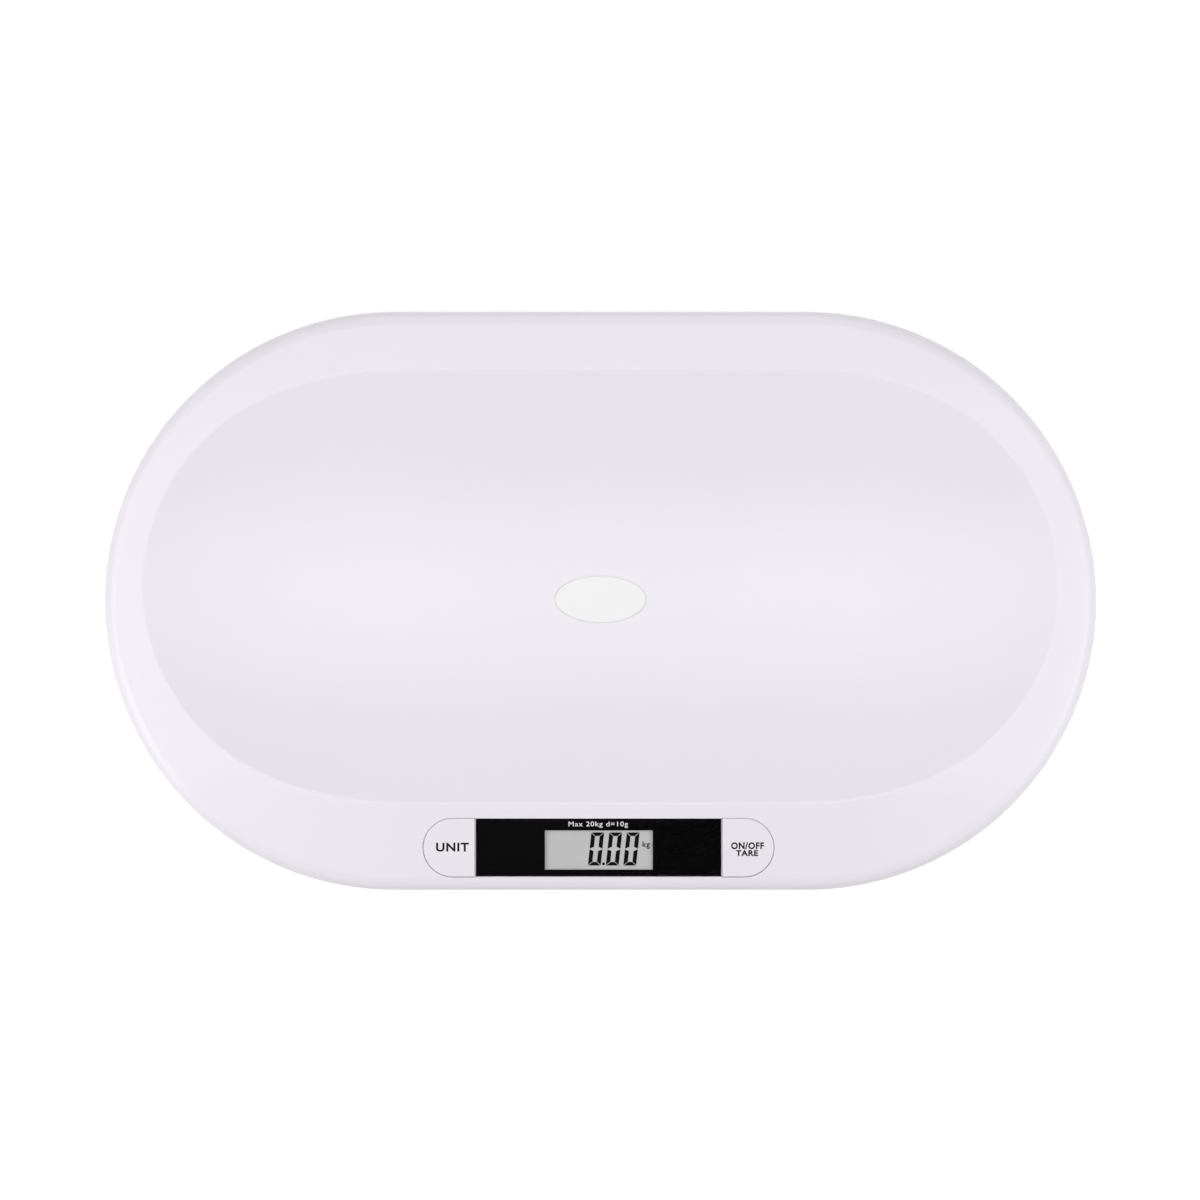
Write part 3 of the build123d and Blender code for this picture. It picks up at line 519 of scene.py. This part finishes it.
def cellSleeve():
    material, tree, shader, place = startMaterial("printed battery sleeve", {"Roughness": 0.3})
    split = addNode(tree, "ShaderNodeSeparateXYZ", {"Vector": place})
    side = addNode(tree, "ShaderNodeMath", {0: split.outputs["X"]}, operation="ABSOLUTE")
    band = addNode(tree, "ShaderNodeMath", {
        0: side.outputs[0], 1: sleeve["bandStart"] * mm}, operation="GREATER_THAN")
    printed = addNode(tree, "ShaderNodeMix", {
        "Factor": band.outputs[0], mixLow: linear("#1a1c20"), mixHigh: linear("#a8703f")}, data_type="RGBA")
    wear = addNode(tree, "ShaderNodeTexNoise", {
        "Vector": place, "Scale": 1 / (sleeve["mottle"] * mm), "Detail": 4.0})
    worn = addNode(tree, "ShaderNodeMix", {
        "Factor": wear.outputs["Fac"], mixLow: printed.outputs[mixResult], mixHigh: linear("#2a2c30")},
        data_type="RGBA", blend_type="SOFT_LIGHT")
    tree.links.new(worn.outputs[mixResult], shader.inputs["Base Color"])
    return material


# fibreglass laminate under green solder resist, with copper runs showing through as a paler green
tracks = {"run": 9, "pitch": 2.5, "width": 0.3, "height": 0.03}


def solderResist():
    material, tree, shader, place = startMaterial("green solder resist", {"IOR": 1.5, "Roughness": 0.3})
    runs = addNode(tree, "ShaderNodeTexBrick", {
        "Vector": place, "Scale": 1.0, "Mortar Size": tracks["width"] * mm,
        "Brick Width": tracks["run"] * mm, "Row Height": tracks["pitch"] * mm,
        "Color1": linear("#1d6b39"), "Color2": linear("#1a6435"), "Mortar": linear("#2f8a4f")})
    tree.links.new(runs.outputs["Color"], shader.inputs["Base Color"])
    bump = addNode(tree, "ShaderNodeBump", {
        "Height": runs.outputs["Fac"], "Strength": 0.5, "Distance": tracks["height"] * mm})
    tree.links.new(bump.outputs["Normal"], shader.inputs["Normal"])
    return material


# conductive and plain silicone in turn; real layers are 0.1 mm, drawn at 0.5 mm so that they show
def zebraSilicone():
    stripe = 0.5
    waveShare = 20  # the wave texture draws this many stripes to its unit of scale
    material, tree, shader, place = startMaterial("striped contact silicone", {"Roughness": 0.6})
    stripes = addNode(tree, "ShaderNodeTexWave", {
        "Vector": place, "Scale": 1 / (waveShare * stripe * mm)}, wave_profile="SIN")
    colour = addNode(tree, "ShaderNodeMix", {
        "Factor": stripes.outputs["Fac"], mixLow: linear("#0d0d0e"), mixHigh: linear("#57575a")},
        data_type="RGBA")
    tree.links.new(colour.outputs[mixResult], shader.inputs["Base Color"])
    return material


dress(cellSleeve(), "batteries")
dress(solderResist(), "main_board")
dress(zebraSilicone(), "zebra_strips")
print("inner pieces dressed")


# underside

# rubber pad of a foot: a disc with a rolled lower edge and three ring grooves that give it grip
pad = {"radius": 20.0, "height": 2.6, "edge": 0.5, "rings": (16.5, 12.0, 7.5), "groove": 1.0, "depth": 0.6}
smoothAngle = math.radians(35)


def rubberPad():
    pickOnly(None)
    bpy.ops.mesh.primitive_cylinder_add(vertices=96, radius=pad["radius"] * mm, depth=pad["height"] * mm,
                                        location=(0, 0, pad["height"] / 2 * mm))
    disc = settle(bpy.context.object, "pad")
    editPiece(disc)
    pickCap(disc)
    bpy.ops.mesh.bevel(offset=pad["edge"] * mm, segments=3, profile=0.5)
    reach = pad["radius"] - pad["edge"]
    for ring in pad["rings"]:
        pickCap(disc)
        bpy.ops.mesh.inset(thickness=(reach - ring) * mm)
        pushFace(pad["depth"] * mm)
        bpy.ops.mesh.inset(thickness=pad["groove"] * mm)
        pushFace(-pad["depth"] * mm)
        reach = ring - pad["groove"]
    pickOnly(disc)
    bpy.ops.object.shade_smooth_by_angle(angle=smoothAngle)
    return disc


plainPad = rubberPad()
for corner in ("front_left", "front_right", "back_left", "back_right"):
    low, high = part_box("foot_pad_" + corner)
    # rounded, because the facets put the box off by microns
    across, along = [round((low[axis] + high[axis]) / 2, 4) for axis in (0, 1)]
    piece = copyOf(plainPad, Matrix.Translation((across, along, 0)))
    piece.name = "grooved_pad_" + corner
    dress(padRubber, piece.name)
    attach(piece, "foot_" + corner)
    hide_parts("foot_pad_" + corner)
bpy.data.objects.remove(plainPad)


# case screw: domed head with a tapering cross recess, and a shank that ends in a blunt point.
# One stands at each end of the straight sides and one halfway round each bend, one inset from the edge
screw = {
    "headRadius": 2.9, "headHeight": 2.2, "edge": 0.8, "seat": 12.0,
    "radius": 1.5, "length": 22.0, "point": 1.0, "pointShare": 0.5,
    "armLength": 3.4, "armWidth": 0.85, "recess": 1.25, "taper": 0.55, "inset": 32.3,
}


def crossCutter():
    arms = []
    for quarterTurn in (0, math.pi / 2):
        bpy.ops.mesh.primitive_cube_add(size=1, location=(0, 0, 0))
        arm = bpy.context.object
        arm.scale = (screw["armLength"] * mm, screw["armWidth"] * mm, 2 * screw["recess"] * mm)
        arm.location = (0, 0, (screw["seat"] - screw["headHeight"]) * mm)
        arm = settle(arm, "arm")
        editPiece(arm)
        pickCap(arm, highest=True)
        bpy.ops.transform.resize(value=(screw["taper"], screw["taper"], 1))
        bpy.ops.object.mode_set(mode="OBJECT")
        arm.data.transform(Matrix.Rotation(quarterTurn, 4, "Z"))
        arms.append(arm)
    return arms


def caseScrew():
    pickOnly(None)
    low = screw["seat"] - screw["headHeight"]
    bpy.ops.mesh.primitive_cylinder_add(
        vertices=40, radius=screw["headRadius"] * mm, depth=screw["headHeight"] * mm,
        location=(0, 0, (low + screw["headHeight"] / 2) * mm))
    body = settle(bpy.context.object, "screw")
    editPiece(body)
    pickCap(body)
    bpy.ops.mesh.bevel(offset=screw["edge"] * mm, segments=5, profile=0.6)
    pickCap(body, highest=True)
    bpy.ops.mesh.inset(thickness=(screw["headRadius"] - screw["radius"]) * mm)
    pushFace((screw["length"] - screw["point"]) * mm)
    pushFace(screw["point"] * mm)
    bpy.ops.transform.resize(value=(screw["pointShare"], screw["pointShare"], 1))
    bpy.ops.object.mode_set(mode="OBJECT")
    for arm in crossCutter():
        pickOnly(body)
        cut = body.modifiers.new("cross", "BOOLEAN")
        cut.operation = "DIFFERENCE"
        cut.object = arm
        bpy.ops.object.modifier_apply(modifier="cross")
        bpy.data.objects.remove(arm)
    pickOnly(body)
    bpy.ops.object.shade_smooth_by_angle(angle=smoothAngle)
    return body


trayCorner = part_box("tray")[1]
bendCentre = round(trayCorner.x - trayCorner.y, 4)
screwReach = round(trayCorner.y - screw["inset"] * mm, 4)
diagonal = screwReach * math.cos(math.radians(45))
screwPlaces = [(bendCentre, screwReach), (bendCentre + diagonal, diagonal)]
plainScrew = caseScrew()
screws = [copyOf(plainScrew, Matrix.Translation((x * across, y * along, 0)))
          for x, y in screwPlaces for across in (-1, 1) for along in (-1, 1)]
bpy.data.objects.remove(plainScrew)
caseScrews = joinPieces(screws, "cross_head_screws")
dress(zincSteel, "cross_head_screws")
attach(caseScrews, "root")
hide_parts("case_screws")


# printed frame and two rules on the blank label, a thin skin of ink on its lower face
frameLine = {"margin": 2.5, "line": 0.5, "thickness": 0.02, "ruleGap": 10.0, "ruleInset": 1.0}


def inkBar(length, width, place):
    bpy.ops.mesh.primitive_plane_add(size=1, location=place)
    bar = bpy.context.object
    bar.scale = (length, width, 1)
    return settle(bar, "bar")


def labelFrame():
    pickOnly(None)
    low, high = [Vector(corner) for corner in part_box("rating_label")]
    middle = Vector((0, (low.y + high.y) / 2, low.z))
    length, width = [high[axis] - low[axis] - 2 * frameLine["margin"] * mm for axis in (0, 1)]
    frameRing = inkBar(length, width, middle)
    editPiece(frameRing, "SELECT")
    bpy.ops.mesh.inset(thickness=frameLine["line"] * mm)
    bpy.ops.mesh.delete(type="FACE")
    bars = [frameRing]
    for side in (-1, 1):
        pickOnly(None)
        place = middle + Vector((0, side * frameLine["ruleGap"] / 2 * mm, 0))
        bars.append(inkBar(length - 2 * frameLine["ruleInset"] * mm, frameLine["line"] * mm, place))
    for bar in bars:
        editPiece(bar, "SELECT")
        pushFace(-frameLine["thickness"] * mm)
        bpy.ops.mesh.select_all(action="SELECT")
        bpy.ops.mesh.normals_make_consistent(inside=False)
        bpy.ops.object.mode_set(mode="OBJECT")
    return joinPieces(bars, "label_frame")


labelInk = plainSurface("grey printed ink", "#4c4d50", "#434447", 0.15, 0.003, {"Roughness": 0.5})
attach(labelFrame(), "root")
dress(labelInk, "label_frame")
print("underside pieces made")


# stage, light and camera, with sizes and places in metres

# a white table: plain for the light that it throws back, and white to the eye with the soft shadow kept
tableTop = {"size": 12, "albedo": 0.86, "nearReach": 0.5, "nearLift": 0.45, "farReach": 1.6, "farLift": 1.1}


def tablePaint():
    material, tree = startBareMaterial("white table")
    albedo = tableTop["albedo"]
    seen = seenDirectly(tree)
    paint = addNode(tree, "ShaderNodeBsdfDiffuse", {"Color": (albedo, albedo, albedo, 1)})
    # further out the lamps fade, so the lift grows to keep the ground as white as the sky
    place = addNode(tree, "ShaderNodeTexCoord").outputs["Object"]
    away = addNode(tree, "ShaderNodeVectorMath", {0: place}, operation="LENGTH")
    lift = addNode(tree, "ShaderNodeMapRange", {
        "Value": away.outputs["Value"], "From Min": tableTop["nearReach"], "From Max": tableTop["farReach"],
        "To Min": tableTop["nearLift"], "To Max": tableTop["farLift"]})
    glow = addNode(tree, "ShaderNodeEmission", {"Color": (1, 1, 1, 1), "Strength": lift.outputs["Result"]})
    lifted = addNode(tree, "ShaderNodeAddShader", {0: paint.outputs[0], 1: glow.outputs[0]})
    front = addNode(tree, "ShaderNodeMixShader", {0: seen, 1: paint.outputs[0], 2: lifted.outputs[0]})
    # seen from below, the table isn't there
    facing = addNode(tree, "ShaderNodeNewGeometry")
    clear = addNode(tree, "ShaderNodeBsdfTransparent")
    both = addNode(tree, "ShaderNodeMixShader", {
        0: facing.outputs["Backfacing"], 1: front.outputs[0], 2: clear.outputs[0]})
    tree.links.new(both.outputs[0], tree.nodes["Material Output"].inputs["Surface"])
    return material


pickOnly(None)
bpy.ops.mesh.primitive_plane_add(size=tableTop["size"], location=(0, 0, 0))
table = bpy.context.object
table.name = "table"
table.visible_shadow = False  # lets the lamp under it reach the underside
dress(tablePaint(), "table")

# a dark card out of sight above the front edge, which only gloss can see: it keeps the display black
felt = {"place": (0, -0.47, 1.0), "length": 0.8, "width": 0.4, "pile": 2, "depth": 0.1}  # last two in mm
bpy.ops.mesh.primitive_plane_add(size=1, location=felt["place"])
card = bpy.context.object
card.name = "card"
card.scale = (felt["length"], felt["width"], 1)
card.visible_camera = False
card.visible_diffuse = False
card.visible_shadow = False
blackFelt = plainSurface(
    "black felt card", "#060606", "#040404", felt["pile"], felt["depth"],
    {"Specular IOR Level": 0.0, "Roughness": 1.0})
dress(blackFelt, "card")

light = {
    "ambient": 0.1,
    "lamps": {
        # place, size and watts of each soft box; all aim at the origin
        "over": ((0, 0, 2.2), 1.6, 17.0),
        "left": ((-1.1, 0, 0.9), 0.9, 5.7),
        "right": ((1.1, 0, 0.9), 0.9, 6.2),
        "frontLeft": ((-1.1, -0.5, 0.6), 0.6, 3.6),
        "frontRight": ((1.1, -0.5, 0.6), 0.6, 2.3),
        "back": ((0, 1.0, 0.25), 0.6, 1.9),
        "front": ((0, -1.0, 0.25), 0.6, 0.4),
        "under": ((0, 0, -1.6), 1.6, 8.0),  # for the underside alone, through the table
    },
}


def softBox(name, place, size, watts):
    data = bpy.data.lights.new(name, "AREA")
    data.shape = "SQUARE"
    data.size = size
    data.energy = watts
    lamp = bpy.data.objects.new(name, data)
    bpy.context.scene.collection.objects.link(lamp)
    lamp.location = place
    lamp.rotation_euler = (-Vector(place)).to_track_quat("-Z", "Y").to_euler()


for lampName, values in light["lamps"].items():
    softBox(lampName, *values)

# a dim room for the light on the object, and a white one for whatever looks straight at it
room = bpy.data.worlds.new("white room")
bpy.context.scene.world = room
room.use_nodes = True
roomTree = room.node_tree
backdrop = roomTree.nodes["Background"]
level = addNode(roomTree, "ShaderNodeMapRange", {
    "Value": seenDirectly(roomTree), "To Min": light["ambient"], "To Max": 1.0})
backdrop.inputs["Color"].default_value = (1, 1, 1, 1)
roomTree.links.new(level.outputs["Result"], backdrop.inputs["Strength"])

# straight above, and far enough off to show no perspective; the lens sets the object's size in the picture
camera = {
    "height": 12.0, "across": -0.0003, "along": 0.0005, "focusHeight": 0.037,
    "pixelsPerMetre": 1805.5, "pictureWidth": 1200, "sensorWidth": 36,
}
cameraData = bpy.data.cameras.new("camera")
cameraObject = bpy.data.objects.new("camera", cameraData)
bpy.context.scene.collection.objects.link(cameraObject)
bpy.context.scene.camera = cameraObject
cameraObject.location = (camera["across"], camera["along"], camera["height"])
metresAcross = camera["pictureWidth"] / camera["pixelsPerMetre"]
cameraData.sensor_width = camera["sensorWidth"]
cameraData.lens = camera["sensorWidth"] * (camera["height"] - camera["focusHeight"]) / metresAcross
bpy.context.scene.view_settings.view_transform = "Standard"
print("stage, light and camera set")
